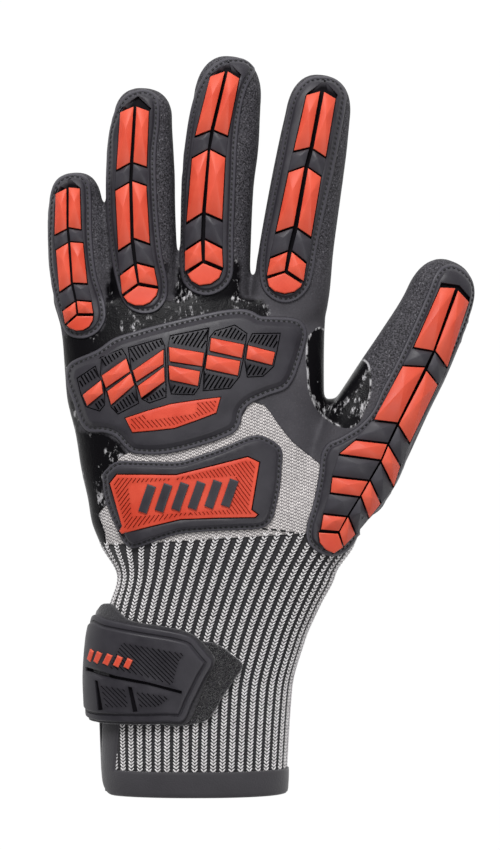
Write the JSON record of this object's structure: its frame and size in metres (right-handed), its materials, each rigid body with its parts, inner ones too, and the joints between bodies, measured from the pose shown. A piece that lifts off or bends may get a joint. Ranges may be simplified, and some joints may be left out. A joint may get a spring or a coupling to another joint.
{
  "type": "impact work glove",
  "caption": "Left-hand impact work glove with a ribbed knit cuff, a coated shell and black and orange moulded guards on the back.",
  "frame": {"origin": "under the middle of the glove's bounding box, on the surface that it rests on, palm down", "axes": "+Y from the hem to the fingertips, +Z out of the back of the hand, +X towards the thumb"},
  "size_m": [0.1534, 0.2656, 0.0425],
  "materials": {
    "coated_knit": "sandy matt",
    "knit": "grey plain knit",
    "rib_knit": "white and black ribs",
    "binding_tape": "matt",
    "loops": "fuzzy",
    "black_guard": "satin",
    "orange_inlay": "satin"
  },
  "bodies": {
    "root": {"palm_coat": "coated_knit", "knit_back_panel": "knit", "little_sleeve": "coated_knit", "ring_sleeve": "coated_knit", "middle_sleeve": "coated_knit", "index_sleeve": "coated_knit", "thumb_base_sleeve": "coated_knit", "thumb_tip_sleeve": "coated_knit", "ribbed_cuff": "rib_knit", "cuff_binding": "binding_tape", "knuckle_guard": "black_guard", "knuckle_tile_a1": "orange_inlay", "knuckle_tile_b1": "orange_inlay", "knuckle_tile_b2": "orange_inlay", "knuckle_tile_c1": "orange_inlay", "knuckle_tile_c2": "orange_inlay", "knuckle_tile_d1": "orange_inlay", "knuckle_tile_d2": "orange_inlay", "knuckle_tile_e1": "orange_inlay", "knuckle_tile_e2": "orange_inlay", "knuckle_tile_f1": "orange_inlay", "knuckle_label": "orange_inlay", "badge_frame": "black_guard", "badge_inlay": "orange_inlay", "little_guard": "black_guard", "little_inlay_tip": "orange_inlay", "little_inlay_middle": "orange_inlay", "little_inlay_root": "orange_inlay", "ring_guard": "black_guard", "ring_inlay_tip": "orange_inlay", "ring_inlay_middle": "orange_inlay", "ring_inlay_root": "orange_inlay", "middle_guard": "black_guard", "middle_inlay_tip": "orange_inlay", "middle_inlay_middle": "orange_inlay", "middle_inlay_root": "orange_inlay", "index_guard": "black_guard", "index_inlay_tip": "orange_inlay", "index_inlay_middle": "orange_inlay", "index_inlay_root": "orange_inlay", "thumb_guard": "black_guard", "thumb_inlay_1": "orange_inlay", "thumb_inlay_2": "orange_inlay", "thumb_inlay_3": "orange_inlay", "thumb_inlay_4": "orange_inlay", "thumb_inlay_5": "orange_inlay", "loop_patch": "loops", "strap_band": "binding_tape", "strap_guard": "black_guard"}
  },
  "joints": []
}
